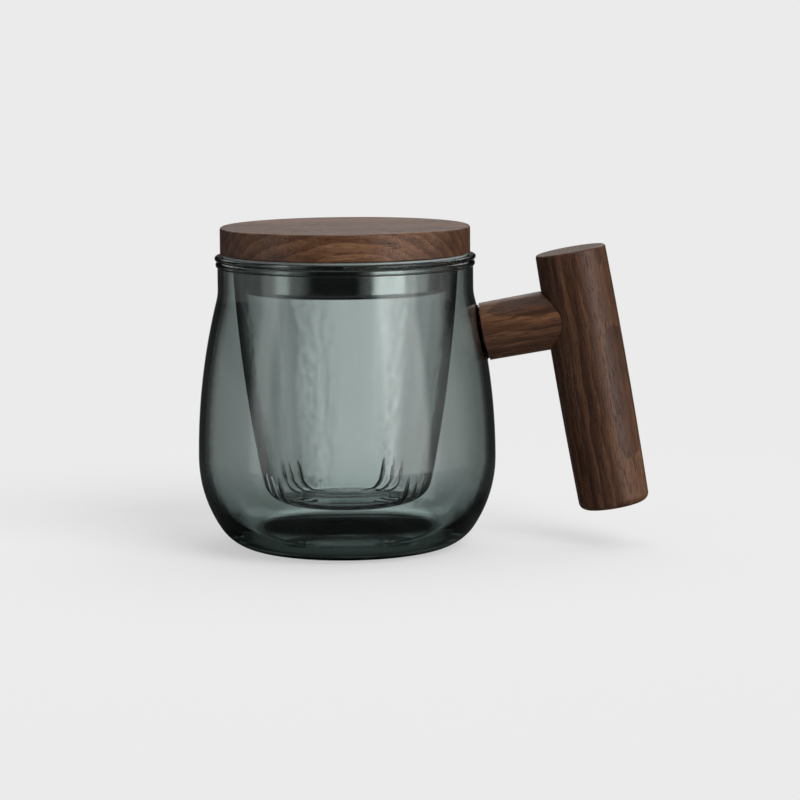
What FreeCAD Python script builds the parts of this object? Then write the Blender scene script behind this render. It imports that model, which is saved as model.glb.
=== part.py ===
import FreeCAD, Part
import math
import os

import Sketcher

# A lidded glass tea mug with a lift-out glass infuser and a wooden tee handle.
# Millimetres. X points to the handle, Y to the back, Z up.
# The origin is the centre of the flat that the mug stands on.

SIZES = [
    # Mug glass: the outer outline from the base up to the lip
    ("base_inset", 20.55, "from the belly in to where the flat base starts to curve up"),
    ("base_corner_radius", 16, "tight arc beside the flat base"),
    ("belly_radius", 50.55, "widest radius of the mug"),
    ("belly_height", 31, "height of the widest place"),
    ("neck_fillet_radius", 15, "hollow arc between the belly and the neck"),
    ("neck_radius", 43.3, "outside of the straight neck"),
    ("neck_length", 9.6, "straight neck, from its foot up to the top of the lip"),
    ("rim_height", 97.8, "top of the mug's lip"),
    ("lip_swell", 0.3, "how far the fire-polished lip swells beyond half the wall"),
    ("mug_wall", 1.8, "thickness of the mug's glass"),
    ("base_thickness", 3.4, "thickness of the glass in the base"),
    ("floor_corner_radius", 12, "tight arc round the mug's floor inside"),
    ("base_recess_radius", 10, "shallow recess under the base"),
    ("base_recess_depth", 0.4, "depth of that recess"),
    # Infuser glass
    ("infuser_bottom_height", 14.3, "underside of the infuser above the table"),
    ("infuser_bottom_radius", 27, "sharp corner of the infuser's bottom before rounding"),
    ("infuser_gap", 3.3, "between the mug's mouth and the infuser just under its flange"),
    ("infuser_bow_radius", 500, "slight outward bow of the infuser's wall"),
    ("infuser_wall", 1.4, "thickness of the infuser's glass"),
    ("infuser_corner_radius", 8.5, "rounding of the infuser's bottom outside"),
    ("flange_reach", 2.7, "how far the infuser's flange reaches over the mug's lip"),
    ("flange_thickness", 1.5, "thickness of the flange"),
    ("flange_root_radius", 1.2, "rounding between the flange and the wall"),
    ("flange_edge_radius", 0.65, "rounding of the flange's edges"),
    ("seat_gap", 0.15, "clearance between the lip and the flange"),
    ("slit_count", 3, "slits in each group"),
    ("slit_width", 1.1, "width of one slit"),
    ("slit_pitch", 4.2, "distance between slits in a group"),
    ("slit_top_height", 26, "pointed top of the slits"),
    ("slit_point_length", 4, "length of the narrowing top of a slit"),
    ("slit_inner_radius", 14, "where the slits end in the bottom"),
    ("front_right_angle", 54, "slit group at the front right, from straight to the front"),
    ("front_left_angle", 60, "slit group at the front left"),
    ("back_right_angle", 145, "slit group at the back right"),
    ("back_left_angle", 132, "slit group at the back left"),
    # Lid
    ("gasket_thickness", 0.6, "silicone ring under the wood"),
    ("gasket_inset", 0.9, "silicone ring in from the wood's edge"),
    ("lid_inset", 1, "wood's edge in from the outside of the neck"),
    ("lid_thickness", 9.2, "wooden disc"),
    ("lid_top_edge_radius", 0.9, "broken top edge of the disc"),
    ("lid_bottom_edge_radius", 0.5, "broken bottom edge of the disc"),
    ("cup_gap", 1.9, "between the steel cup and the infuser just under its flange"),
    ("cup_depth", 12.7, "how far the steel cup hangs below the wood"),
    ("cup_wall", 0.6, "steel sheet"),
    ("cup_corner_radius", 1.8, "pressed corner of the steel cup"),
    ("cup_seat_depth", 3, "how far the steel cup goes into the wood"),
    ("groove_depth", 3.4, "groove in the wood for the steel cup"),
    ("lid_glue_width", 1.4, "cured adhesive inside the groove"),
    ("fit_gap", 0.1, "clearance of snug fits"),
    ("glue_gap", 0.05, "between cured adhesive and what it holds"),
    # Handle: a peg rises from the mug's wall to a leaning grip
    ("handle_lean", 9.8, "degrees that the peg rises and the grip leans back"),
    ("peg_drop", 25, "from the lip down to where the peg's axis meets the mug's wall"),
    ("peg_reach", 33.9, "from the mug's wall to the grip's axis"),
    ("peg_wall_radius", 9.8, "peg at the mug"),
    ("peg_grip_radius", 10.2, "peg at the grip"),
    ("boss_radius", 9.2, "glass pad fused to the wall"),
    ("boss_rise", 0.7, "how far the pad stands out of the wall"),
    ("boss_root_radius", 0.5, "rounding between the pad and the wall"),
    ("stud_radius", 4.2, "glass stud inside the peg"),
    ("stud_length", 6.5, "stud beyond the pad"),
    ("bond_thickness", 0.35, "cured adhesive round the stud"),
    ("grip_radius", 12.4, "middle of the grip"),
    ("grip_end_radius", 11.95, "both ends of the grip"),
    ("grip_above", 22.3, "grip above the peg's axis"),
    ("grip_below", 66.3, "grip below the peg's axis"),
    ("grip_top_edge_radius", 1, "broken top edge of the grip"),
    ("grip_bottom_edge_radius", 2.6, "rounded bottom edge of the grip"),
    ("dowel_radius", 4, "hidden dowel between the peg and the grip"),
    ("dowel_in_peg", 10, "dowel inside the peg"),
    ("dowel_in_grip", 12, "dowel inside the grip"),
    ("dowel_chamfer", 0.8, "chamfer at both ends of the dowel"),
    ("flute_count", 12, "flutes along the dowel"),
    ("flute_radius", 0.5, "radius of one flute"),
]

# Places that follow from the sizes, as expressions of the sheet
BASE_FLAT_RADIUS = "(size.belly_radius - size.base_inset)"
MOUTH_RADIUS = "(size.neck_radius - size.mug_wall)"
LIP_RADIUS = "(size.mug_wall / 2 + size.lip_swell)"
BELLY_RISE = "(size.rim_height - size.neck_length - size.belly_height)"
BELLY_DROP = "(size.belly_radius - size.neck_radius)"
BELLY_ARC_RADIUS = f"(({BELLY_RISE}^2 + {BELLY_DROP}^2) / (2 * {BELLY_DROP}) - size.neck_fillet_radius)"
BELLY_CENTRE = f"(size.belly_radius - {BELLY_ARC_RADIUS})"
PEG_HEIGHT = "(size.rim_height - size.peg_drop)"
PEG_RISE = f"({PEG_HEIGHT} - size.belly_height)"
WALL_AT_PEG = f"({BELLY_CENTRE} + sqrt({BELLY_ARC_RADIUS}^2 - {PEG_RISE}^2))"
INFUSER_TOP_RADIUS = f"({MOUTH_RADIUS} - size.infuser_gap)"
FLANGE_RADIUS = f"({MOUTH_RADIUS} + size.flange_reach)"
LID_RADIUS = "(size.neck_radius - size.lid_inset)"
CUP_RADIUS = f"({INFUSER_TOP_RADIUS} - size.infuser_wall - size.cup_gap)"
FLANGE_BOTTOM = "(size.rim_height + size.seat_gap)"
FLANGE_TOP = f"({FLANGE_BOTTOM} + size.flange_thickness)"
WOOD_BOTTOM = f"({FLANGE_TOP} + size.gasket_thickness)"
WOOD_TOP = f"({WOOD_BOTTOM} + size.lid_thickness)"
CUP_BOTTOM = f"({WOOD_BOTTOM} - size.cup_depth)"
CUP_TOP = f"({WOOD_BOTTOM} + size.cup_seat_depth)"

# Distances along the peg's axis from the mug's wall
STUD_END = "(size.boss_rise + size.stud_length)"
BOND_END = f"({STUD_END} + size.bond_thickness)"
GRIP_FACE = "(size.peg_reach - size.grip_radius)"
DOWEL_START = f"({GRIP_FACE} - size.dowel_in_peg)"
DOWEL_END = f"({GRIP_FACE} + size.dowel_in_grip)"

# How near counts as the same place when edges are looked for
CLOSE = 0.001
POINTS_ON_AN_EDGE = 5

doc = FreeCAD.newDocument("tea_mug")


def make_sheet():
    sheet = doc.addObject("Spreadsheet::Sheet", "size")
    for number, (alias, number_value, note) in enumerate(SIZES, start=1):
        sheet.set(f"A{number}", note)
        sheet.set(f"B{number}", str(number_value))
        sheet.setAlias(f"B{number}", alias)
    doc.recompute()
    return sheet


sheet = make_sheet()


def value(expression):
    """The present value of an expression of the sheet."""
    result = sheet.evalExpression(expression)
    return float(getattr(result, "Value", result))


# Sketches

def new_body(name):
    return doc.addObject("PartDesign::Body", name)


def origin_feature(body, role):
    return next(feature for feature in body.Origin.OriginFeatures if feature.Role == role)


def new_sketch(body, name, role="XZ_Plane"):
    sketch = body.newObject("Sketcher::SketchObject", name)
    sketch.AttachmentSupport = (origin_feature(body, role), "")
    sketch.MapMode = "FlatFace"
    return sketch


def bind(sketch, kind, *references, expression):
    """A dimension of the sketch that follows an expression of the sheet."""
    index = sketch.addConstraint(Sketcher.Constraint(kind, *references, value(expression)))
    sketch.setExpression(f"Constraints[{index}]", expression)


def relate(sketch, kind, *references):
    sketch.addConstraint(Sketcher.Constraint(kind, *references))


def line(start, end):
    return Part.LineSegment(FreeCAD.Vector(*start, 0), FreeCAD.Vector(*end, 0))


def arc(centre, radius, start_degrees, end_degrees):
    circle = Part.Circle(FreeCAD.Vector(*centre, 0), FreeCAD.Vector(0, 0, 1), radius)
    return Part.ArcOfCircle(circle, math.radians(start_degrees), math.radians(end_degrees))


def bowed_edge(start, end, radius):
    """An arc that bows away from the axis. Sketch arcs run upwards, so start may be its end."""
    low, high = sorted((start, end), key=lambda point: point[1])
    half = math.dist(low, high) / 2
    chord_angle = math.atan2(high[1] - low[1], high[0] - low[0])
    depth = math.sqrt(radius**2 - half**2)
    centre_x = (low[0] + high[0]) / 2 - depth * math.sin(chord_angle)
    centre_y = (low[1] + high[1]) / 2 + depth * math.cos(chord_angle)
    low_angle = math.degrees(math.atan2(low[1] - centre_y, low[0] - centre_x))
    high_angle = math.degrees(math.atan2(high[1] - centre_y, high[0] - centre_x))
    return arc((centre_x, centre_y), radius, low_angle, high_angle), (1, 2) if start == low else (2, 1)


def outline(sketch, corners):
    """A closed outline. Each corner is two expressions, and a third bows the edge that follows."""
    points = [(value(corner[0]), value(corner[1])) for corner in corners]
    before = sketch.GeometryCount
    ends = []
    for number, (corner, start) in enumerate(zip(corners, points)):
        end = points[(number + 1) % len(points)]
        edge, order = line(start, end), (1, 2)
        if len(corner) == 3:
            edge, order = bowed_edge(start, end, value(corner[2]))
        sketch.addGeometry(edge)
        ends.append(order)
    for number, corner in enumerate(corners):
        edge, first = before + number, ends[number][0]
        edge_before = before + (number - 1) % len(corners)
        relate(sketch, "Coincident", edge, first, edge_before, ends[number - 1][1])
        for kind, axis, expression in (("DistanceX", -2, corner[0]), ("DistanceY", -1, corner[1])):
            if expression == "0":
                relate(sketch, "PointOnObject", edge, first, axis)
            else:
                bind(sketch, kind, -1, 1, edge, first, expression=expression)
        if len(corner) == 3:
            bind(sketch, "Radius", edge, expression=corner[2])


def circle_sketch(body, name, radius, across="0"):
    """A circle in the XY plane, with its centre on the X axis."""
    sketch = new_sketch(body, name, "XY_Plane")
    centre = FreeCAD.Vector(value(across), 0, 0)
    circle = sketch.addGeometry(Part.Circle(centre, FreeCAD.Vector(0, 0, 1), value(radius)))
    bind(sketch, "Radius", circle, expression=radius)
    if across == "0":
        relate(sketch, "Coincident", circle, 3, -1, 1)
    else:
        relate(sketch, "PointOnObject", circle, 3, -1)
        bind(sketch, "DistanceX", -1, 1, circle, 3, expression=across)
    return sketch


# Features

def revolve(body, sketch):
    feature = body.newObject("PartDesign::Revolution", sketch.Name + "_turned")
    feature.Profile = sketch
    feature.ReferenceAxis = (origin_feature(body, "Z_Axis"), [""])
    feature.Angle = 360
    doc.recompute()


def turned_body(name, corners):
    body = new_body(name)
    sketch = new_sketch(body, name + "_outline")
    outline(sketch, corners)
    revolve(body, sketch)
    return body


def ring_edges(shape, radius, height):
    """Names of the round edges of this radius at this height."""
    names = []
    for number, edge in enumerate(shape.Edges, start=1):
        curve = edge.Curve
        if not isinstance(curve, Part.Circle):
            continue
        if abs(curve.Radius - radius) < CLOSE and abs(curve.Center.z - height) < CLOSE:
            names.append(f"Edge{number}")
    return names


def round_ring(body, radius, height, fillet, kind="Fillet"):
    """Round, or chamfer, the ring edge at a radius and height given as expressions."""
    base = body.Tip
    names = ring_edges(base.Shape, value(radius), value(height))
    if len(names) != 1:
        raise RuntimeError(f"{body.Label}: {len(names)} edges at {radius}, {height}")
    feature = body.newObject(f"PartDesign::{kind}", f"{body.Name}_{kind.lower()}")
    feature.Base = (base, names)
    feature.setExpression("Radius" if kind == "Fillet" else "Size", fillet)
    doc.recompute()


def check_cut(feature, volume_before):
    """A cut that points away from the solid leaves it whole, with no error of its own."""
    if feature.Shape.Volume >= volume_before:
        raise RuntimeError(f"{feature.Label} cuts nothing")


def boolean(kind, name, *shapes):
    """A cut of two shapes, or a fusion or common of any number."""
    if kind == "Cut":
        result = doc.addObject("Part::Cut", name)
        result.Base, result.Tool = shapes
    else:
        result = doc.addObject(f"Part::Multi{kind}", name)
        result.Shapes = list(shapes)
    doc.recompute()
    return result


# The mug's wall

def corner_arcs(flat_radius, floor, tight_radius, wide_edge, wide_height):
    """Two tangent arcs that climb from a flat floor to an upright wall."""
    rise = wide_height - floor - tight_radius
    reach = wide_edge - flat_radius - tight_radius
    turn = 2 * math.atan(rise / reach) - math.pi / 2
    wide_radius = tight_radius + rise / math.cos(turn)
    tight = arc((flat_radius, floor + tight_radius), tight_radius, -90, math.degrees(turn) - 90)
    wide = arc((wide_edge - wide_radius, wide_height), wide_radius, math.degrees(turn) - 90, 0)
    return tight, wide


def neck_arcs(belly_centre, belly_radius, neck_edge, hollow_radius):
    """The long belly arc and the hollow arc that brings it upright at the neck."""
    across = neck_edge + hollow_radius - belly_centre[0]
    climb = math.sqrt((belly_radius + hollow_radius) ** 2 - across ** 2)
    turn = math.degrees(math.atan2(climb, across))
    hollow_centre = (neck_edge + hollow_radius, belly_centre[1] + climb)
    return arc(belly_centre, belly_radius, 0, turn), arc(hollow_centre, hollow_radius, 180, 180 + turn)


def wall_outline(sketch, floor, tight_radius, inset):
    """The floor and wall up to the neck, set in from the outside by an expression.

    Leaves the neck's upright line as the last edge, with its top end free.
    """
    wide_edge = f"size.belly_radius - {inset}"
    neck_edge = f"size.neck_radius - {inset}"
    arc_radius = f"{BELLY_ARC_RADIUS} - {inset}"
    hollow_radius = f"size.neck_fillet_radius + {inset}"
    flat_end = (value(BASE_FLAT_RADIUS), value(floor))
    belly_height = value("size.belly_height")
    tight, wide = corner_arcs(*flat_end, value(tight_radius), value(wide_edge), belly_height)
    belly_centre = (value(BELLY_CENTRE), belly_height)
    belly, hollow = neck_arcs(belly_centre, value(arc_radius), value(neck_edge), value(hollow_radius))
    neck_foot = (value(neck_edge), hollow.Center.y)
    neck_end = (value(neck_edge), value("size.rim_height"))
    base, tight, wide, belly, hollow, neck = sketch.addGeometry([
        line((0, value(floor)), flat_end),
        tight,
        wide,
        belly,
        hollow,
        line(neck_foot, neck_end),
    ])
    relate(sketch, "Horizontal", base)
    relate(sketch, "Vertical", neck)
    relate(sketch, "Tangent", base, 2, tight, 1)
    relate(sketch, "Tangent", tight, 2, wide, 1)
    relate(sketch, "Tangent", wide, 2, belly, 1)
    relate(sketch, "Tangent", belly, 2, hollow, 2)
    relate(sketch, "Tangent", hollow, 1, neck, 1)
    bind(sketch, "DistanceX", -1, 1, base, 2, expression=BASE_FLAT_RADIUS)
    bind(sketch, "Radius", tight, expression=tight_radius)
    bind(sketch, "DistanceX", -1, 1, belly, 3, expression=BELLY_CENTRE)
    bind(sketch, "DistanceY", -1, 1, belly, 3, expression="size.belly_height")
    bind(sketch, "DistanceY", -1, 1, belly, 1, expression="size.belly_height")
    bind(sketch, "Radius", belly, expression=arc_radius)
    bind(sketch, "Radius", hollow, expression=hollow_radius)
    bind(sketch, "DistanceX", -1, 1, neck, 1, expression=neck_edge)
    return base, neck


def mug_outside():
    """The mug as if it were solid, up to the middle of its rounded lip."""
    body = new_body("mug_outside")
    sketch = new_sketch(body, "mug_outside_outline")
    base, neck = wall_outline(sketch, "0", "size.base_corner_radius", "0")
    lip_centre_x = f"{MOUTH_RADIUS} + {LIP_RADIUS}"
    lip_centre_y = f"size.rim_height - {LIP_RADIUS}"
    centre = (value(lip_centre_x), value(lip_centre_y))
    lip_radius = value(LIP_RADIUS)
    outer_angle = -math.degrees(math.acos((value("size.neck_radius") - centre[0]) / lip_radius))
    lip, top, middle = sketch.addGeometry([
        arc(centre, lip_radius, outer_angle, 180),
        line((value(MOUTH_RADIUS), centre[1]), (0, centre[1])),
        line((0, centre[1]), (0, 0)),
    ])
    relate(sketch, "Coincident", base, 1, -1, 1)
    relate(sketch, "Coincident", neck, 2, lip, 1)
    relate(sketch, "Coincident", lip, 2, top, 1)
    relate(sketch, "Coincident", top, 2, middle, 1)
    relate(sketch, "Coincident", middle, 2, base, 1)
    relate(sketch, "Horizontal", lip, 3, lip, 2)
    relate(sketch, "Horizontal", top)
    relate(sketch, "PointOnObject", top, 2, -2)
    bind(sketch, "Radius", lip, expression=LIP_RADIUS)
    bind(sketch, "DistanceX", -1, 1, lip, 3, expression=lip_centre_x)
    bind(sketch, "DistanceY", -1, 1, lip, 3, expression=lip_centre_y)
    revolve(body, sketch)
    return body


def mug_cavity():
    """The space inside the mug."""
    body = new_body("mug_cavity")
    sketch = new_sketch(body, "mug_cavity_outline")
    base, neck = wall_outline(sketch, "size.base_thickness", "size.floor_corner_radius", "size.mug_wall")
    rim = value("size.rim_height")
    top, middle = sketch.addGeometry([
        line((value(MOUTH_RADIUS), rim), (0, rim)),
        line((0, rim), (0, value("size.base_thickness"))),
    ])
    relate(sketch, "Coincident", neck, 2, top, 1)
    relate(sketch, "Coincident", top, 2, middle, 1)
    relate(sketch, "Coincident", middle, 2, base, 1)
    relate(sketch, "PointOnObject", base, 1, -2)
    relate(sketch, "PointOnObject", top, 2, -2)
    relate(sketch, "Horizontal", top)
    bind(sketch, "DistanceY", -1, 1, base, 1, expression="size.base_thickness")
    bind(sketch, "DistanceY", -1, 1, neck, 2, expression="size.rim_height")
    revolve(body, sketch)
    return body


def belly_slice(name, rise):
    """A turned solid whose side is the mug's belly beside the peg, raised by an expression."""
    arc_radius = f"({BELLY_ARC_RADIUS} + {rise})"
    corners = []
    for step in ("-", "+"):
        height = f"({PEG_HEIGHT} {step} 1.5 * size.peg_wall_radius)"
        edge = f"{BELLY_CENTRE} + sqrt({arc_radius}^2 - ({height} - size.belly_height)^2)"
        corners.append((edge, height))
    (low_edge, low), (high_edge, high) = corners
    return turned_body(name, [("0", low), (low_edge, low, arc_radius), (high_edge, high), ("0", high)])


# Places in the handle

def place_in_handle(item, along, up="0", grip=False):
    """Put an item at a distance along the peg's axis from the wall, and up along the grip.

    Its Z points along the peg, away from the mug, or up along the grip.
    """
    lean = "size.handle_lean"
    across = f"{WALL_AT_PEG} + ({along}) * cos({lean}) - ({up}) * sin({lean})"
    height = f"{PEG_HEIGHT} + ({along}) * sin({lean}) + ({up}) * cos({lean})"
    turn = f"-{lean}" if grip else f"90 - {lean}"
    item.setExpression(
        "Placement",
        f"placement(vector({across}; 0; {height}); rotation(vector(0; 1; 0); {turn}))",
    )


def peg_cylinder(name, radius, start, end):
    """A cylinder on the peg's axis between two distances from the wall."""
    cylinder = doc.addObject("Part::Cylinder", name)
    cylinder.setExpression("Radius", radius)
    cylinder.setExpression("Height", f"({end}) - ({start})")
    place_in_handle(cylinder, start)
    return cylinder


# The pieces

def base_recess(body):
    """The shallow round recess under the base."""
    volume_before = body.Shape.Volume
    sketch = circle_sketch(body, "base_recess_outline", "size.base_recess_radius")
    pocket = body.newObject("PartDesign::Pocket", "base_recess")
    pocket.Profile = sketch
    pocket.Reversed = True
    pocket.setExpression("Length", "size.base_recess_depth")
    doc.recompute()
    check_cut(pocket, volume_before)


def off_the_wall(point):
    """How far a point stands out of the mug's belly, level with the point."""
    rise = point.z - value("size.belly_height")
    wall = value(BELLY_CENTRE) + math.sqrt(value(BELLY_ARC_RADIUS) ** 2 - rise ** 2)
    return math.hypot(point.x, point.y) - wall


def off_the_pad(point):
    """How far a point stands out of the cylinder of the glass pad."""
    lean = math.radians(value("size.handle_lean"))
    away = point - FreeCAD.Vector(value(WALL_AT_PEG), 0, value(PEG_HEIGHT))
    along = away.dot(FreeCAD.Vector(math.cos(lean), 0, math.sin(lean)))
    return math.sqrt(away.Length ** 2 - along ** 2) - value("size.boss_radius")


def round_boss_root(solid):
    """Round the edges where the glass pad meets the mug's wall, as fused glass does."""
    radius = value("size.boss_root_radius")
    found = []
    for number, edge in enumerate(solid.Shape.Edges, start=1):
        points = edge.discretize(POINTS_ON_AN_EDGE)
        on_pad = all(abs(off_the_pad(point)) < CLOSE for point in points)
        if on_pad and all(abs(off_the_wall(point)) < CLOSE for point in points):
            found.append((number, radius, radius))
    if not found:
        raise RuntimeError("the pad's root was not found")
    fillet = doc.addObject("Part::Fillet", "boss_root")
    fillet.Base = solid
    fillet.Edges = found
    doc.recompute()
    return fillet


def make_mug_glass():
    """The mug: its wall, with a pad and a stud fused on for the handle, less its inside."""
    outside = mug_outside()
    base_recess(outside)
    raised = belly_slice("boss_surface", "size.boss_rise")
    pad = peg_cylinder("boss_disc", "size.boss_radius", "-size.boss_radius", "2 * size.boss_rise")
    boss = boolean("Common", "boss_pad", pad, raised)
    stud = peg_cylinder("boss_stud", "size.stud_radius", "-size.stud_radius", STUD_END)
    solid = boolean("Fuse", "mug_with_boss", outside, boss, stud)
    return boolean("Cut", "mug_glass", round_boss_root(solid), mug_cavity())


def make_handle_bond():
    """Cured adhesive round the glass stud, inside the peg's socket."""
    sleeve_radius = "size.stud_radius + size.bond_thickness - size.glue_gap"
    sleeve = peg_cylinder("bond_sleeve", sleeve_radius, "0", BOND_END)
    core_radius = "size.stud_radius + size.glue_gap"
    core = peg_cylinder("bond_core", core_radius, "0", f"{STUD_END} + size.glue_gap")
    pad_cope = belly_slice("pad_cope", "size.boss_rise + size.fit_gap")
    return boolean("Cut", "handle_bond", sleeve, boolean("Fuse", "bond_cuts", core, pad_cope))


def dowel_hole(name):
    return peg_cylinder(
        name,
        "size.dowel_radius + size.fit_gap",
        f"{DOWEL_START} - size.fit_gap",
        f"{DOWEL_END} + size.fit_gap",
    )


def make_handle_peg():
    """The peg: a slightly tapered rod, coped to the mug's wall and to the grip."""
    overrun = "size.peg_wall_radius / 2"
    rod = doc.addObject("Part::Cone", "peg_rod")
    rod.setExpression("Radius1", "size.peg_wall_radius")
    rod.setExpression("Radius2", "size.peg_grip_radius")
    rod.setExpression("Height", f"size.peg_reach + {overrun}")
    place_in_handle(rod, f"-{overrun}")
    wall_cope = belly_slice("wall_cope", "size.boss_rise + size.fit_gap")
    grip_cope = doc.addObject("Part::Cylinder", "grip_cope")
    grip_cope.setExpression("Radius", "size.grip_radius + size.fit_gap")
    grip_cope.setExpression("Height", "4 * size.peg_grip_radius")
    place_in_handle(grip_cope, "size.peg_reach", "-2 * size.peg_grip_radius", grip=True)
    socket_radius = "size.stud_radius + size.bond_thickness"
    socket = peg_cylinder("peg_socket", socket_radius, "0", f"{BOND_END} + size.glue_gap")
    removed = boolean("Fuse", "peg_cuts", wall_cope, grip_cope, socket, dowel_hole("peg_dowel_hole"))
    return boolean("Cut", "handle_peg", rod, removed)


def make_handle_grip():
    """The grip: a rod with a slight belly and rounded ends, bored for the dowel."""
    swell = "(size.grip_radius - size.grip_end_radius)"
    half_length = "((size.grip_above + size.grip_below) / 2)"
    bow_radius = f"({half_length}^2 + {swell}^2) / (2 * {swell})"
    rod = turned_body("grip_rod", [
        ("0", "-size.grip_below"),
        ("size.grip_end_radius", "-size.grip_below", bow_radius),
        ("size.grip_end_radius", "size.grip_above"),
        ("0", "size.grip_above"),
    ])
    round_ring(rod, "size.grip_end_radius", "size.grip_above", "size.grip_top_edge_radius")
    round_ring(rod, "size.grip_end_radius", "-size.grip_below", "size.grip_bottom_edge_radius")
    place_in_handle(rod, "size.peg_reach", grip=True)
    return boolean("Cut", "handle_grip", rod, dowel_hole("grip_dowel_hole"))


def make_handle_dowel():
    """The fluted dowel that joins the peg to the grip."""
    body = new_body("handle_dowel")
    rod = body.newObject("PartDesign::Pad", "dowel_rod")
    rod.Profile = circle_sketch(body, "dowel_outline", "size.dowel_radius")
    rod.setExpression("Length", f"{DOWEL_END} - {DOWEL_START}")
    doc.recompute()
    round_ring(body, "size.dowel_radius", "0", "size.dowel_chamfer", "Chamfer")
    round_ring(body, "size.dowel_radius", f"{DOWEL_END} - {DOWEL_START}", "size.dowel_chamfer", "Chamfer")
    volume_before = body.Shape.Volume
    flute_sketch = circle_sketch(body, "flute_outline", "size.flute_radius", "size.dowel_radius")
    groove = body.newObject("PartDesign::Pocket", "flute")
    groove.Profile = flute_sketch
    groove.Type = "ThroughAll"
    groove.Reversed = True
    doc.recompute()
    check_cut(groove, volume_before)
    flutes = body.newObject("PartDesign::PolarPattern", "flutes")
    flutes.Originals = [groove]
    flutes.Axis = (origin_feature(body, "Z_Axis"), [""])
    flutes.Angle = 360
    flutes.setExpression("Occurrences", "size.flute_count")
    body.Tip = flutes
    place_in_handle(body, DOWEL_START)
    doc.recompute()
    return body


def cut_slits(body, number, angle):
    """One group of upright slits with pointed tops, through the wall and the bottom's corner."""
    sketch = new_sketch(body, f"slit_outline_{number}", "YZ_Plane")
    across = f"size.slit_inner_radius * sin({angle})"
    out = f"size.slit_inner_radius * cos({angle})"
    sketch.setExpression(
        "AttachmentOffset",
        f"placement(vector({across}; 0; {out}); rotation(vector(0; 1; 0); {angle}))",
    )
    shoulder = "size.slit_top_height - size.slit_point_length"
    count = int(value("size.slit_count"))
    for step in range(count):
        middle = f"{step - (count - 1) / 2} * size.slit_pitch"
        outline(sketch, [
            (f"{middle} - size.slit_width / 2", "0"),
            (f"{middle} + size.slit_width / 2", "0"),
            (f"{middle} + size.slit_width / 2", shoulder),
            (middle, "size.slit_top_height"),
            (f"{middle} - size.slit_width / 2", shoulder),
        ])
    volume_before = body.Shape.Volume
    pocket = body.newObject("PartDesign::Pocket", f"slits_{number}")
    pocket.Profile = sketch
    pocket.Reversed = True
    pocket.setExpression("Length", INFUSER_TOP_RADIUS)
    doc.recompute()
    check_cut(pocket, volume_before)


def make_infuser_glass():
    """The infuser: a bowed cone with a rounded bottom, a flange and four groups of slits."""
    bow = "size.infuser_bow_radius"
    inner_bottom = "size.infuser_bottom_height + size.infuser_wall"
    inner_top_radius = f"{INFUSER_TOP_RADIUS} - size.infuser_wall"
    inner_bottom_radius = "size.infuser_bottom_radius - size.infuser_wall"
    body = turned_body("infuser_glass", [
        ("0", "size.infuser_bottom_height"),
        ("size.infuser_bottom_radius", "size.infuser_bottom_height", bow),
        (INFUSER_TOP_RADIUS, FLANGE_BOTTOM),
        (FLANGE_RADIUS, FLANGE_BOTTOM),
        (FLANGE_RADIUS, FLANGE_TOP),
        (inner_top_radius, FLANGE_TOP, f"{bow} - size.infuser_wall"),
        (inner_bottom_radius, inner_bottom),
        ("0", inner_bottom),
    ])
    round_ring(body, FLANGE_RADIUS, FLANGE_BOTTOM, "size.flange_edge_radius")
    round_ring(body, FLANGE_RADIUS, FLANGE_TOP, "size.flange_edge_radius")
    round_ring(body, inner_top_radius, FLANGE_TOP, "size.flange_edge_radius")
    round_ring(body, INFUSER_TOP_RADIUS, FLANGE_BOTTOM, "size.flange_root_radius")
    corner = "size.infuser_corner_radius"
    round_ring(body, "size.infuser_bottom_radius", "size.infuser_bottom_height", corner)
    round_ring(body, inner_bottom_radius, inner_bottom, f"{corner} - size.infuser_wall")
    groups = (
        "size.front_right_angle",
        "size.back_right_angle",
        "-size.back_left_angle",
        "-size.front_left_angle",
    )
    for number, from_front in enumerate(groups, start=1):
        cut_slits(body, number, f"({from_front} - 90)")
    return body


def make_lid_disc():
    """The wooden disc, with a groove under it for the steel cup."""
    groove_outer = f"{CUP_RADIUS} + size.fit_gap"
    groove_inner = f"{CUP_RADIUS} - size.cup_wall - size.lid_glue_width"
    groove_top = f"{WOOD_BOTTOM} + size.groove_depth"
    body = turned_body("lid_disc", [
        ("0", WOOD_BOTTOM),
        (groove_inner, WOOD_BOTTOM),
        (groove_inner, groove_top),
        (groove_outer, groove_top),
        (groove_outer, WOOD_BOTTOM),
        (LID_RADIUS, WOOD_BOTTOM),
        (LID_RADIUS, WOOD_TOP),
        ("0", WOOD_TOP),
    ])
    round_ring(body, LID_RADIUS, WOOD_TOP, "size.lid_top_edge_radius")
    round_ring(body, LID_RADIUS, WOOD_BOTTOM, "size.lid_bottom_edge_radius")
    return body


def make_lid_cup():
    """The pressed steel cup that hangs from the wood into the infuser's mouth."""
    inner_radius = f"{CUP_RADIUS} - size.cup_wall"
    inner_bottom = f"{CUP_BOTTOM} + size.cup_wall"
    body = turned_body("lid_cup", [
        ("0", CUP_BOTTOM),
        (CUP_RADIUS, CUP_BOTTOM),
        (CUP_RADIUS, CUP_TOP),
        (inner_radius, CUP_TOP),
        (inner_radius, inner_bottom),
        ("0", inner_bottom),
    ])
    round_ring(body, CUP_RADIUS, CUP_BOTTOM, "size.cup_corner_radius")
    round_ring(body, inner_radius, inner_bottom, "size.cup_corner_radius - size.cup_wall")
    return body


def flat_ring(name, inner, outer, bottom, top):
    return turned_body(name, [(inner, bottom), (outer, bottom), (outer, top), (inner, top)])


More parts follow.
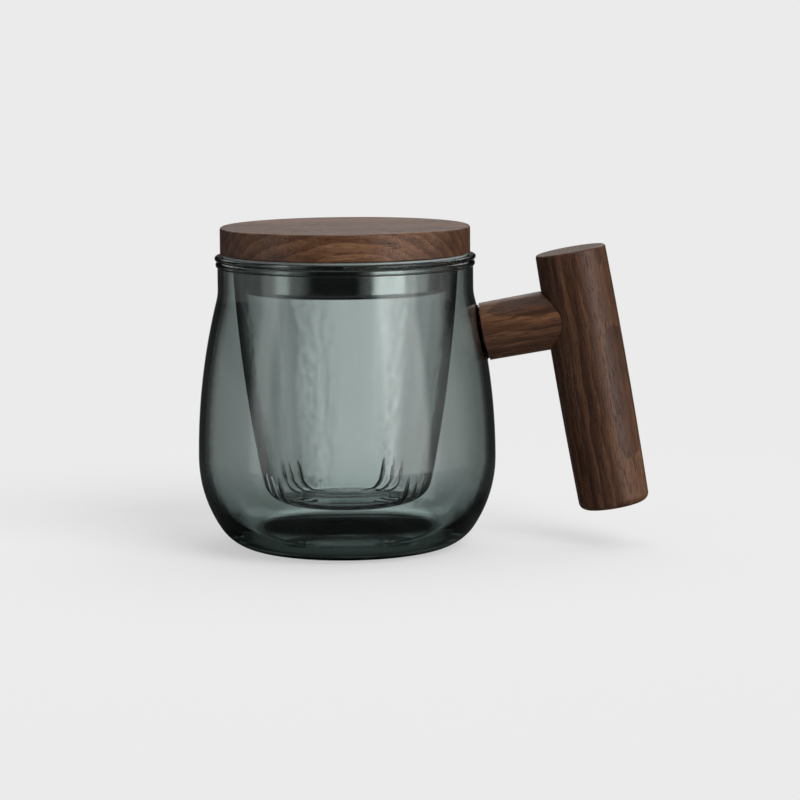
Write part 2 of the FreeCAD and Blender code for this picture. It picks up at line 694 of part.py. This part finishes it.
def make_lid_bond():
    """Cured adhesive in the groove, inside the steel cup's edge."""
    inner = f"{CUP_RADIUS} - size.cup_wall - size.lid_glue_width + size.glue_gap"
    outer = f"{CUP_RADIUS} - size.cup_wall - size.glue_gap"
    top = f"{WOOD_BOTTOM} + size.groove_depth - size.glue_gap"
    return flat_ring("lid_bond", inner, outer, WOOD_BOTTOM, top)


def make_lid_gasket():
    """The silicone ring round the steel cup, between the wood and the infuser's flange."""
    inner = f"{CUP_RADIUS} + size.fit_gap"
    return flat_ring("lid_gasket", inner, f"{LID_RADIUS} - size.gasket_inset", FLANGE_TOP, WOOD_BOTTOM)


pieces = [
    make_mug_glass(),
    make_handle_bond(),
    make_handle_peg(),
    make_handle_dowel(),
    make_handle_grip(),
    make_infuser_glass(),
    make_lid_disc(),
    make_lid_cup(),
    make_lid_bond(),
    make_lid_gasket(),
]
doc.recompute()

for item in doc.Objects:
    if "Invalid" in item.State or "Error" in item.State:
        raise RuntimeError(f"{item.Label} failed: {item.State}")
for piece in pieces:
    shape = piece.Shape
    if shape.isNull() or not shape.isValid() or len(shape.Solids) != 1:
        raise RuntimeError(f"{piece.Label} is not one valid solid")

os.makedirs("parts", exist_ok=True)
for piece in pieces:
    piece.Shape.exportStep(f"parts/{piece.Label}.step")
    print(piece.Label, round(piece.Shape.Volume, 1))
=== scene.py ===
import math

import bpy
from mathutils import Matrix, Vector

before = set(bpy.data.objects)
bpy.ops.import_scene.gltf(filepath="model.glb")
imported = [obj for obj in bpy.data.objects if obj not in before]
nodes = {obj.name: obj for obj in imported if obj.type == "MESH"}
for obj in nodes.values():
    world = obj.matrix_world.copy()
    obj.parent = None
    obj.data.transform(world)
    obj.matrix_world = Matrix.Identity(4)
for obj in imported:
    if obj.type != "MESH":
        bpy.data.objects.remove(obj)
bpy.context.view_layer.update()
scene = bpy.context.scene

# The grip leans back by this angle and the peg rises by it
HANDLE_LEAN = math.radians(9.8)


# Shader helpers

class Shader:
    """A node tree with short calls for the nodes used here."""

    def __init__(self, tree):
        self.tree = tree
        self.tree.nodes.clear()

    def node(self, kind, values=None, **settings):
        made = self.tree.nodes.new(kind)
        for name, setting in settings.items():
            setattr(made, name, setting)
        for socket, item in (values or {}).items():
            self.feed(made.inputs[socket], item)
        return made

    def feed(self, socket, item):
        if isinstance(item, bpy.types.NodeSocket):
            self.tree.links.new(item, socket)
        else:
            socket.default_value = item

    def math(self, operation, *items):
        return self.node("ShaderNodeMath", dict(enumerate(items)), operation=operation).outputs[0]

    def vector(self, operation, *items):
        return self.node("ShaderNodeVectorMath", dict(enumerate(items)), operation=operation).outputs[0]

    def noise(self, place, scale, detail=3.0, roughness=0.5, distortion=0.0):
        made = self.node("ShaderNodeTexNoise", {
            "Vector": place,
            "Scale": scale,
            "Detail": detail,
            "Roughness": roughness,
            "Distortion": distortion,
        })
        return made.outputs["Fac"]

    def ramp(self, factor, stops):
        """A colour ramp from pairs of position and colour."""
        made = self.node("ShaderNodeValToRGB", {"Fac": factor})
        elements = made.color_ramp.elements
        while len(elements) < len(stops):
            elements.new(0.5)
        for element, (position, colour) in zip(elements, stops):
            element.position = position
            element.color = (*colour, 1.0)
        return made.outputs["Color"]

    def smooth(self, factor, low, high, start=0.0, end=1.0):
        """A smooth step of the factor between low and high."""
        made = self.node("ShaderNodeMapRange", {
            "Value": factor,
            "From Min": low,
            "From Max": high,
            "To Min": start,
            "To Max": end,
        }, interpolation_type="SMOOTHSTEP")
        return made.outputs["Result"]

    def mix(self, factor, first, second):
        made = self.node("ShaderNodeMix", data_type="RGBA")
        self.feed(made.inputs[0], factor)
        self.feed(made.inputs[6], first)
        self.feed(made.inputs[7], second)
        return made.outputs[2]

    def bump(self, height, strength, distance, normal=None):
        values = {"Height": height, "Strength": strength, "Distance": distance}
        if normal is not None:
            values["Normal"] = normal
        return self.node("ShaderNodeBump", values).outputs["Normal"]


def new_material(name):
    material = bpy.data.materials.new(name)
    material.use_nodes = True
    return material, Shader(material.node_tree)


def total(shader, parts):
    result = parts[0]
    for part in parts[1:]:
        result = shader.math("ADD", result, part)
    return result


def paint(node, material):
    mesh = nodes[node].data
    mesh.materials.clear()
    mesh.materials.append(material)


# Glass

BOROSILICATE_IOR = 1.47
SAWN_ROUGHNESS = 0.4
CLEAR = (1.0, 1.0, 1.0, 1.0)
# Painted shade colour for glass walls seen edge on and for the sawn slit sides
PAINTED_EDGE_SHADE = (0.01, 0.012, 0.012, 1.0)


def cut_faces(shader, place):
    """The sawn sides of the slits, whose faces look round the upright axis."""
    normal = shader.node("ShaderNodeNewGeometry").outputs["Normal"]
    outward = shader.vector("NORMALIZE", shader.vector("MULTIPLY", place, (1.0, 1.0, 0.0)))
    sideways = shader.vector("CROSS_PRODUCT", (0.0, 0.0, 1.0), outward)
    facing = shader.node("ShaderNodeVectorMath", {0: normal, 1: sideways}, operation="DOT_PRODUCT")
    return shader.smooth(shader.math("ABSOLUTE", facing.outputs["Value"]), 0.3, 0.7)


def glass_material(name, absorbed, density, gloss, painted_shade_facing):
    """Glass whose tint comes from the light absorbed on the way through the wall.

    The gloss is the specular level. The painted shade facing is the pair of facing values
    between which a wall seen edge on gets a painted shade in its base colour.
    """
    material, shader = new_material(name)
    place = shader.node("ShaderNodeTexCoord").outputs["Object"]
    waves = shader.noise(place, 38.0, detail=1.0)
    wiped = shader.noise(place, 90.0, detail=4.0, roughness=0.6)
    # Painted shade: a wall seen edge on is painted dark in its base colour, standing in for its long
    # path and the dark room it shows
    edge_on = shader.node("ShaderNodeLayerWeight", {"Blend": 0.5}).outputs["Facing"]
    cut = cut_faces(shader, place)
    # Painted shade: the edge-on walls and the sawn slit sides are painted dark; the slit sides are also
    # rough
    dark = shader.math("MAXIMUM", shader.smooth(edge_on, *painted_shade_facing), cut)
    polished = shader.smooth(wiped, 0.35, 0.75, 0.0, 0.012)
    surface = shader.node("ShaderNodeBsdfPrincipled", {
        "Base Color": shader.mix(dark, CLEAR, PAINTED_EDGE_SHADE),
        "Roughness": shader.math("ADD", polished, shader.math("MULTIPLY", cut, SAWN_ROUGHNESS)),
        "IOR": BOROSILICATE_IOR,
        "Specular IOR Level": gloss,
        "Transmission Weight": 1.0,
        "Normal": shader.bump(waves, 0.02, 0.0004),
    })
    inside = shader.node("ShaderNodeVolumeAbsorption", {
        "Color": (*absorbed, 1.0),
        "Density": density,
    })
    shader.node("ShaderNodeOutputMaterial", {
        "Surface": surface.outputs[0],
        "Volume": inside.outputs[0],
    })
    return material


# Walnut

def walnut_material(name, turn, heart, lift):
    """Oiled walnut. The turn brings the grain of the piece upright, heart is the tree's heart."""
    material, shader = new_material(name)
    place = shader.node("ShaderNodeTexCoord").outputs["Object"]
    grain = shader.node("ShaderNodeMapping", {"Vector": place, "Rotation": turn}).outputs[0]

    # Growth rings round the heart, which lies beside the piece
    drift = shader.node("ShaderNodeTexNoise", {"Vector": grain, "Scale": 22.0, "Detail": 3.0})
    wander = shader.vector("SUBTRACT", drift.outputs["Color"], (0.5, 0.5, 0.5))
    wander = shader.vector("MULTIPLY", wander, (0.010, 0.010, 0.0))
    ring_place = shader.vector("SUBTRACT", shader.vector("ADD", grain, wander), heart)
    ring_place = shader.vector("MULTIPLY", ring_place, (1.0, 1.0, 0.03))
    rings = shader.node("ShaderNodeTexWave", {
        "Vector": ring_place,
        "Scale": 95.0,
        "Distortion": 1.6,
        "Detail": 4.0,
        "Detail Scale": 2.0,
        "Detail Roughness": 0.65,
    }, wave_type="RINGS", rings_direction="Z", wave_profile="SAW").outputs["Fac"]

    # Fibres, broad streaks and open pores, all drawn out along the grain
    fibres = shader.noise(shader.vector("MULTIPLY", grain, (1.0, 1.0, 0.05)), 1900.0, 3.0, 0.7)
    streaks = shader.noise(shader.vector("MULTIPLY", grain, (1.0, 1.0, 0.06)), 260.0, 4.0, 0.6)
    broad = shader.noise(shader.vector("MULTIPLY", grain, (1.0, 1.0, 0.15)), 55.0, 3.0, 0.5)
    pore_place = shader.vector("MULTIPLY", grain, (1.0, 1.0, 0.09))
    fine_pores = shader.smooth(shader.noise(pore_place, 3300.0, 1.0, 0.4), 0.56, 0.66)
    large_pores = shader.smooth(shader.noise(pore_place, 1700.0, 1.0, 0.4), 0.64, 0.72)
    pores = shader.math("MAXIMUM", shader.math("MULTIPLY", fine_pores, 0.7), large_pores)

    tone = total(shader, [
        shader.math("MULTIPLY", rings, 0.13),
        shader.math("MULTIPLY", streaks, 0.34),
        shader.math("MULTIPLY", fibres, 0.34),
        shader.math("MULTIPLY", broad, 0.44),
        lift - 0.13,
    ])
    colour = shader.ramp(tone, [
        (0.24, (0.014, 0.006, 0.003)),
        (0.40, (0.046, 0.018, 0.008)),
        (0.52, (0.096, 0.040, 0.018)),
        (0.64, (0.175, 0.082, 0.040)),
        (0.84, (0.330, 0.185, 0.100)),
    ])
    colour = shader.mix(shader.math("MULTIPLY", pores, 0.62), colour, (0.016, 0.008, 0.005, 1.0))

    relief = shader.math("SUBTRACT", shader.math("MULTIPLY", fibres, 0.5), pores)
    normal = shader.bump(relief, 0.45, 0.00012)
    normal = shader.bump(streaks, 0.12, 0.0003, normal)
    roughness = shader.smooth(fibres, 0.3, 0.75, 0.32, 0.48)
    roughness = shader.math("ADD", roughness, shader.math("MULTIPLY", pores, 0.25))
    surface = shader.node("ShaderNodeBsdfPrincipled", {
        "Base Color": colour,
        "Roughness": roughness,
        "Specular IOR Level": 0.4,
        "Coat Weight": 0.1,
        "Coat Roughness": 0.3,
        "Normal": normal,
    })
    shader.node("ShaderNodeOutputMaterial", {"Surface": surface.outputs[0]})
    return material


# Steel, adhesive and silicone

def steel_material():
    material, shader = new_material("polished_steel")
    place = shader.node("ShaderNodeTexCoord").outputs["Object"]
    flat = shader.vector("MULTIPLY", place, (1.0, 1.0, 60.0))
    lines = shader.noise(flat, 60.0, detail=3.0)
    wiped = shader.noise(place, 70.0, detail=4.0)
    surface = shader.node("ShaderNodeBsdfPrincipled", {
        "Base Color": shader.mix(wiped, (0.34, 0.35, 0.35, 1.0), (0.39, 0.39, 0.38, 1.0)),
        "Metallic": 1.0,
        "Roughness": shader.smooth(wiped, 0.3, 0.8, 0.03, 0.06),
        "Normal": shader.bump(lines, 0.04, 0.0001),
    })
    shader.node("ShaderNodeOutputMaterial", {"Surface": surface.outputs[0]})
    return material


def adhesive_material():
    material, shader = new_material("cured_adhesive")
    place = shader.node("ShaderNodeTexCoord").outputs["Object"]
    cloud = shader.noise(place, 300.0, detail=4.0)
    surface = shader.node("ShaderNodeBsdfPrincipled", {
        "Base Color": shader.mix(cloud, (0.62, 0.58, 0.46, 1.0), (0.78, 0.75, 0.66, 1.0)),
        "Roughness": shader.smooth(cloud, 0.3, 0.7, 0.35, 0.55),
        "Subsurface Weight": 0.3,
        "Subsurface Scale": 0.001,
        "Normal": shader.bump(cloud, 0.3, 0.0001),
    })
    shader.node("ShaderNodeOutputMaterial", {"Surface": surface.outputs[0]})
    return material


def silicone_material():
    material, shader = new_material("silicone")
    place = shader.node("ShaderNodeTexCoord").outputs["Object"]
    cloud = shader.noise(place, 160.0, detail=4.0)
    surface = shader.node("ShaderNodeBsdfPrincipled", {
        "Base Color": shader.mix(cloud, (0.80, 0.79, 0.75, 1.0), (0.90, 0.89, 0.86, 1.0)),
        "Roughness": shader.smooth(cloud, 0.3, 0.7, 0.28, 0.42),
        "Subsurface Weight": 0.4,
        "Subsurface Scale": 0.002,
        "Normal": shader.bump(cloud, 0.15, 0.0001),
    })
    shader.node("ShaderNodeOutputMaterial", {"Surface": surface.outputs[0]})
    return material


def beech_material():
    material, shader = new_material("beech")
    place = shader.node("ShaderNodeTexCoord").outputs["Object"]
    turned = shader.node("ShaderNodeMapping", {
        "Vector": place,
        "Rotation": (0.0, HANDLE_LEAN - math.pi / 2, 0.0),
    }).outputs[0]
    fibres = shader.noise(shader.vector("MULTIPLY", turned, (1.0, 1.0, 0.05)), 900.0, detail=4.0)
    surface = shader.node("ShaderNodeBsdfPrincipled", {
        "Base Color": shader.mix(fibres, (0.50, 0.33, 0.18, 1.0), (0.70, 0.52, 0.33, 1.0)),
        "Roughness": shader.smooth(fibres, 0.3, 0.7, 0.5, 0.65),
        "Normal": shader.bump(fibres, 0.3, 0.0001),
    })
    shader.node("ShaderNodeOutputMaterial", {"Surface": surface.outputs[0]})
    return material


MUG_ABSORBED = (0.02, 0.21, 0.17)
MUG_DENSITY = 205.0
mug_glass = glass_material("smoked_glass", MUG_ABSORBED, MUG_DENSITY, 0.85, (0.70, 0.90))
INFUSER_ABSORBED = (0.35, 0.7, 0.62)
INFUSER_DENSITY = 26.0
infuser_glass = glass_material(
    "clear_glass", INFUSER_ABSORBED, INFUSER_DENSITY, 0.35, (0.68, 0.86))
paint("mug_glass", mug_glass)
paint("infuser_glass", infuser_glass)

# Each turn brings the grain's upright axis along the piece
LID_TURN = (0.0, -math.pi / 2, math.radians(8.0))
GRIP_TURN = (0.0, HANDLE_LEAN, 0.0)
PEG_TURN = (0.0, HANDLE_LEAN - math.pi / 2, 0.0)
paint("lid_disc", walnut_material("walnut_lid", LID_TURN, (0.012, -0.128, 0.0), 0.03))
paint("handle_grip", walnut_material("walnut_grip", GRIP_TURN, (0.02, 0.06, 0.0), 0.0))
paint("handle_peg", walnut_material("walnut_peg", PEG_TURN, (-0.01, 0.05, 0.0), -0.01))
paint("handle_dowel", beech_material())
paint("lid_cup", steel_material())
adhesive = adhesive_material()
paint("handle_bond", adhesive)
paint("lid_bond", adhesive)
paint("lid_gasket", silicone_material())


# Studio

BACKGROUND = 0.83
# The level of the light that reaches matt surfaces from all round
PLAIN = 0.30
PALE = (BACKGROUND, BACKGROUND, BACKGROUND, 1.0)


# Angle round the vertical, half the width and the soft edge in degrees, and the level
SOFTBOXES = (
    (49.0, 18.0, 4.0, 2.2),
    (27.0, 9.0, 8.0, 0.25),
    (82.0, 18.0, 12.0, 0.7),
    (-71.0, 8.0, 5.0, 1.1),
    (-52.0, 11.0, 9.0, 0.22),
)


def band(shader, angle, centre, half_width, soft, level):
    """A soft-edged band of light at an angle round the vertical, in degrees."""
    away = shader.math("ABSOLUTE", shader.math("SUBTRACT", angle, centre))
    return shader.smooth(away, half_width - soft, half_width + soft, level, 0.0)


def studio_room(shader):
    """What glass and steel see: softboxes and a lit backdrop in a dark room."""
    direction = shader.node("ShaderNodeTexCoord").outputs["Generated"]
    split = shader.node("ShaderNodeSeparateXYZ", {"Vector": direction})
    across, away, up = split.outputs
    # Angle round the vertical: 0 towards the front, 90 towards the handle, 180 behind
    angle = shader.math("ARCTAN2", across, shader.math("MULTIPLY", away, -1.0))
    angle = shader.math("MULTIPLY", angle, 180.0 / math.pi)
    side = shader.math("ABSOLUTE", angle)
    back = shader.math("SUBTRACT", 180.0, shader.math("ABSOLUTE", shader.math("ADD", angle, -0.4)))
    rise = shader.math("MULTIPLY", shader.math("ARCSINE", up), 180.0 / math.pi)

    horizon = total(shader, [
        shader.smooth(back, 0.6, 3.2, 0.56, 0.0),
        shader.smooth(back, 8.0, 14.0, 0.33, 0.0),
        band(shader, side, 92.0, 42.0, 14.0, 0.18),
    ])
    ground = shader.smooth(rise, -44.0, -30.0, 0.10, 0.0)
    near_level = shader.math(
        "MULTIPLY", shader.smooth(rise, -38.0, -26.0), shader.smooth(rise, 5.5, 1.5))
    horizon = shader.math("MULTIPLY", horizon, near_level)
    panels = total(shader, [band(shader, angle, *softbox) for softbox in SOFTBOXES])
    panel_height = shader.math(
        "MULTIPLY", shader.smooth(rise, -32.0, -14.0), shader.smooth(rise, 58.0, 40.0))
    panels = shader.math("MULTIPLY", panels, panel_height)
    overhead = shader.smooth(rise, 55.0, 75.0, 0.0, 0.9)
    back_top = shader.math(
        "MULTIPLY", shader.smooth(rise, 14.0, 24.0), shader.smooth(rise, 50.0, 34.0))
    back_top = shader.math("MULTIPLY", back_top, shader.smooth(back, 60.0, 25.0, 0.0, 1.6))
    dim = shader.smooth(rise, -4.0, 6.0, 0.03, 0.008)
    return total(shader, [horizon, ground, panels, overhead, back_top, dim])


def make_world():
    """A pale backdrop for the camera, plain light for matt surfaces, the room for glass and steel."""
    world = bpy.data.worlds.new("studio")
    scene.world = world
    world.use_nodes = True
    shader = Shader(world.node_tree)
    room = studio_room(shader)
    rays = shader.node("ShaderNodeLightPath")
    sees_room = shader.math(
        "MAXIMUM", rays.outputs["Is Glossy Ray"], rays.outputs["Is Transmission Ray"])
    difference = shader.math("SUBTRACT", room, PLAIN)
    level = shader.math("ADD", PLAIN, shader.math("MULTIPLY", sees_room, difference))
    colour = shader.mix(rays.outputs["Is Camera Ray"], level, PALE)
    light = shader.node("ShaderNodeBackground", {"Color": colour, "Strength": 1.0})
    shader.node("ShaderNodeOutputWorld", {"Surface": light.outputs[0]})


FLOOR_RADIUS = 0.32
FLOOR_DROP = 0.0002
FLOOR_GLOW = 0.62
# Painted shade colour of the floor under the mug and in reflections
SHADE = (0.03, 0.035, 0.033, 1.0)


def make_floor():
    """A pale round floor that fades into the backdrop."""
    rings, sides = 24, 96
    points = [(0.0, 0.0, 0.0)]
    faces = []
    for ring in range(1, rings + 1):
        for side in range(sides):
            turn = 2 * math.pi * side / sides
            reach = FLOOR_RADIUS * ring / rings
            points.append((reach * math.cos(turn), reach * math.sin(turn), 0.0))
    for side in range(sides):
        faces.append((0, 1 + side, 1 + (side + 1) % sides))
        for ring in range(rings - 1):
            inner, outer = 1 + ring * sides, 1 + (ring + 1) * sides
            after = (side + 1) % sides
            faces.append((inner + side, outer + side, outer + after, inner + after))
    mesh = bpy.data.meshes.new("floor")
    mesh.from_pydata(points, [], faces)
    floor = bpy.data.objects.new("floor", mesh)
    floor.location = (0.0, 0.0, -FLOOR_DROP)
    scene.collection.objects.link(floor)
    material, shader = new_material("floor")
    place = shader.node("ShaderNodeTexCoord").outputs["Object"]
    reach = shader.node("ShaderNodeVectorMath", {0: place}, operation="LENGTH").outputs["Value"]
    rays = shader.node("ShaderNodeLightPath").outputs
    # Painted shade: the floor is painted dark in every reflection, and painted as a shadow under the mug
    # where it is seen through the glass
    through = rays["Is Transmission Ray"]
    shaded = shader.math("MULTIPLY", through, shader.smooth(reach, 0.024, 0.031, 0.95, 0.0))
    shaded = shader.math("MAXIMUM", shaded, shader.math("MULTIPLY", rays["Is Glossy Ray"], 0.97))
    matt = shader.node("ShaderNodeBsdfDiffuse", {
        "Color": shader.mix(shaded, PALE, SHADE),
    })
    glow = shader.node("ShaderNodeEmission", {"Color": PALE, "Strength": 1.0})
    lit = shader.node("ShaderNodeMixShader", {
        0: shader.math("MULTIPLY", rays["Is Camera Ray"], FLOOR_GLOW),
        1: matt.outputs[0],
        2: glow.outputs[0],
    })
    clear = shader.node("ShaderNodeBsdfTransparent")
    wide = shader.smooth(reach, FLOOR_RADIUS * 0.40, FLOOR_RADIUS * 0.98, 1.0, 0.0)
    # Seen through the glass, only the floor under the mug stands against the backdrop
    close = shader.smooth(reach, 0.028, 0.036, 1.0, 0.0)
    narrower = shader.math("SUBTRACT", close, wide)
    cover = shader.math("ADD", wide, shader.math("MULTIPLY", through, narrower))
    mixed = shader.node("ShaderNodeMixShader", {0: cover, 1: clear.outputs[0], 2: lit.outputs[0]})
    shader.node("ShaderNodeOutputMaterial", {"Surface": mixed.outputs[0]})
    mesh.materials.append(material)


def make_sun(name, azimuth, elevation, strength, spread):
    """A very soft lamp. Azimuth 0 is the camera's side, 90 the handle's."""
    lamp = bpy.data.lights.new(name, "SUN")
    lamp.energy = strength
    lamp.angle = math.radians(spread)
    thing = bpy.data.objects.new(name, lamp)
    turn, rise = math.radians(azimuth), math.radians(elevation)
    towards = Vector((math.sin(turn) * math.cos(rise), -math.cos(turn) * math.cos(rise), math.sin(rise)))
    thing.rotation_euler = towards.to_track_quat("Z", "Y").to_euler()
    thing.visible_glossy = False
    thing.visible_transmission = False
    scene.collection.objects.link(thing)


make_world()
make_floor()
make_sun("key", azimuth=38.0, elevation=38.0, strength=2.2, spread=40.0)
make_sun("top", azimuth=150.0, elevation=70.0, strength=1.0, spread=60.0)


# Camera

CAMERA_ACROSS = 0.0181
CAMERA_AWAY = 1.100
CAMERA_HEIGHT = 0.1895
AIM_HEIGHT = 0.0497
ROLL = math.radians(-0.50)

camera_data = bpy.data.cameras.new("camera")
camera_data.sensor_width = 36.0
camera_data.lens = 146.7
camera_data.clip_start = 0.05
camera = bpy.data.objects.new("camera", camera_data)
camera.location = (CAMERA_ACROSS, -CAMERA_AWAY, CAMERA_HEIGHT)
target = Vector((CAMERA_ACROSS, 0.0, AIM_HEIGHT))
look = (target - camera.location).to_track_quat("-Z", "Y")
camera.rotation_euler = (look.to_matrix() @ Matrix.Rotation(ROLL, 3, "Z")).to_euler()
scene.collection.objects.link(camera)
scene.camera = camera

scene.view_settings.view_transform = "Standard"
